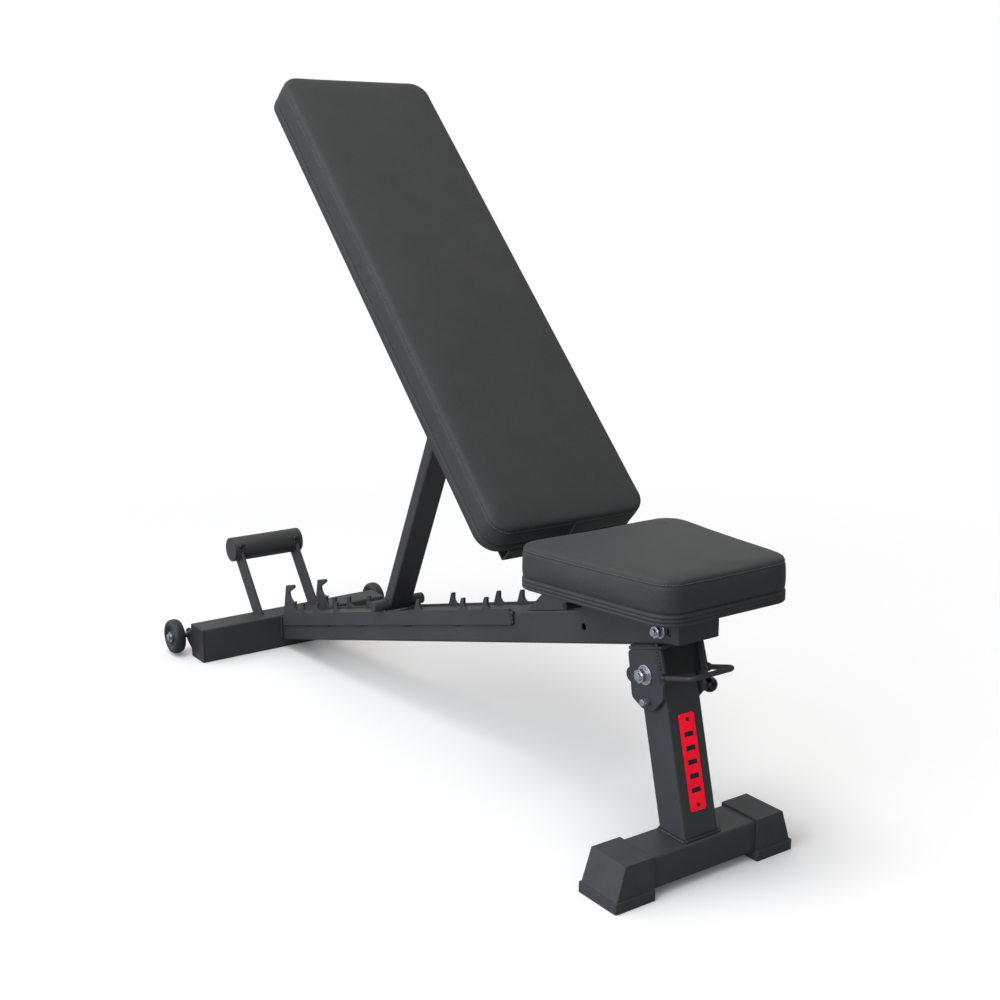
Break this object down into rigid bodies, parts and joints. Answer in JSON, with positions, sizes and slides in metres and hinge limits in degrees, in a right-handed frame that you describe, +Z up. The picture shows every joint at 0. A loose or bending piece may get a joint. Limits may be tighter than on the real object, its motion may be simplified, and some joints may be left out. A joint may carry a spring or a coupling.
{
  "type": "adjustable weight bench",
  "caption": "Folding incline weight bench: padded backrest on a prop strut and toothed rack, tilting seat, folding front leg, rear wheels and stand bar.",
  "frame": {"origin": "on the floor, under the centre of the whole bench's bounding box", "axes": "+Z up, +Y along the bench towards the wheels at the rear, +X towards the sitter's left; the sitter faces -Y"},
  "size_m": [0.5186, 1.4842, 1.16],
  "materials": {
    "steel": "satin fine-texture black powder coat",
    "zinc": "bright zinc plate",
    "rubber": "matt black rubber",
    "tyre": "smooth black urethane",
    "plastic": "black moulded plastic",
    "vinyl": "dark grey grained vinyl",
    "board": "plywood",
    "badge": "red enamel"
  },
  "bodies": {
    "frame": {"main_beam": "steel", "beam_front_cap": "plastic", "rack_plate_left": "steel", "rack_plate_right": "steel", "gusset_left": "steel", "gusset_right": "steel", "rear_foot_tube": "steel", "rear_foot_caps": "plastic", "stand_bar": "steel", "stand_bar_discs": "steel", "stand_struts": "steel", "wheel_brackets": "steel", "wheel_axles": "zinc", "bracket_plate_left": "steel", "bracket_plate_right": "steel", "bracket_front_plate": "steel", "bracket_top_plate": "steel", "fold_lug": "steel", "leg_pin_tip": "zinc", "carry_handle": "steel", "leg_pivot_bolt": "zinc", "backrest_pivot_bolt": "zinc", "seat_pivot_bolt": "zinc", "pivot_nuts": "zinc", "pivot_washers": "zinc"},
    "leg": {"front_post": "steel", "front_foot_tube": "steel", "foot_boot_left": "rubber", "foot_boot_right": "rubber", "badge_plate": "badge", "badge_screws": "zinc"},
    "leg_pin": {"leg_pin_shank": "zinc", "leg_pin_knob": "plastic"},
    "backrest": {"backrest_spine": "steel", "backrest_cross_lower": "steel", "backrest_cross_upper": "steel", "backrest_lugs": "steel", "backrest_sleeve": "steel", "strut_lugs": "steel", "strut_hinge_bolt": "zinc", "strut_hinge_nut": "zinc", "backrest_board": "board", "backrest_pad": "vinyl", "backrest_pad_bolts": "zinc"},
    "strut": {"strut_tube": "steel", "strut_sleeve": "steel", "strut_cross_pin": "steel"},
    "seat": {"seat_bracket": "steel", "seat_board": "board", "seat_pad": "vinyl", "seat_pad_bolts": "zinc"},
    "seat_pin": {"seat_pin_shank": "plastic", "seat_pin_knob": "plastic"},
    "wheel_left": {"tyre_left": "tyre", "hub_left": "plastic", "bearings_left": "zinc"},
    "wheel_right": {"tyre_right": "tyre", "hub_right": "plastic", "bearings_right": "zinc"}
  },
  "joints": [
    {"name": "backrest_tilt", "type": "hinge", "parent": "frame", "child": "backrest", "pos_m": [0, -0.36721, 0.403], "axis": [1, 0, 0], "range_deg": [0, 33]},
    {"name": "strut_swing", "type": "hinge", "parent": "backrest", "child": "strut", "pos_m": [0, -0.07252, 0.67304], "axis": [1, 0, 0], "range_deg": [-45, 0]},
    {"name": "seat_tilt", "type": "hinge", "parent": "frame", "child": "seat", "pos_m": [0, -0.63771, 0.3666], "axis": [1, 0, 0], "range_deg": [-10, 0]},
    {"name": "leg_fold", "type": "hinge", "parent": "frame", "child": "leg", "pos_m": [0, -0.61307, 0.2942], "axis": [1, 0, 0], "range_deg": [0, 86]},
    {"name": "leg_pin_pull", "type": "slide", "parent": "leg", "child": "leg_pin", "axis": [1, 0, 0], "range_m": [0, 0.13]},
    {"name": "seat_pin_pull", "type": "slide", "parent": "frame", "child": "seat_pin", "axis": [1, 0, 0], "range_m": [0, 0.14]},
    {"name": "wheel_left_spin", "type": "hinge", "parent": "frame", "child": "wheel_left", "pos_m": [0, 0.65779, 0.04], "axis": [1, 0, 0], "continuous": true},
    {"name": "wheel_right_spin", "type": "hinge", "parent": "frame", "child": "wheel_right", "pos_m": [0, 0.65779, 0.04], "axis": [1, 0, 0], "continuous": true}
  ],
  "couplings": [
    {"joint": "strut_swing", "follows": "backrest_tilt", "ratio": -1.16}
  ]
}
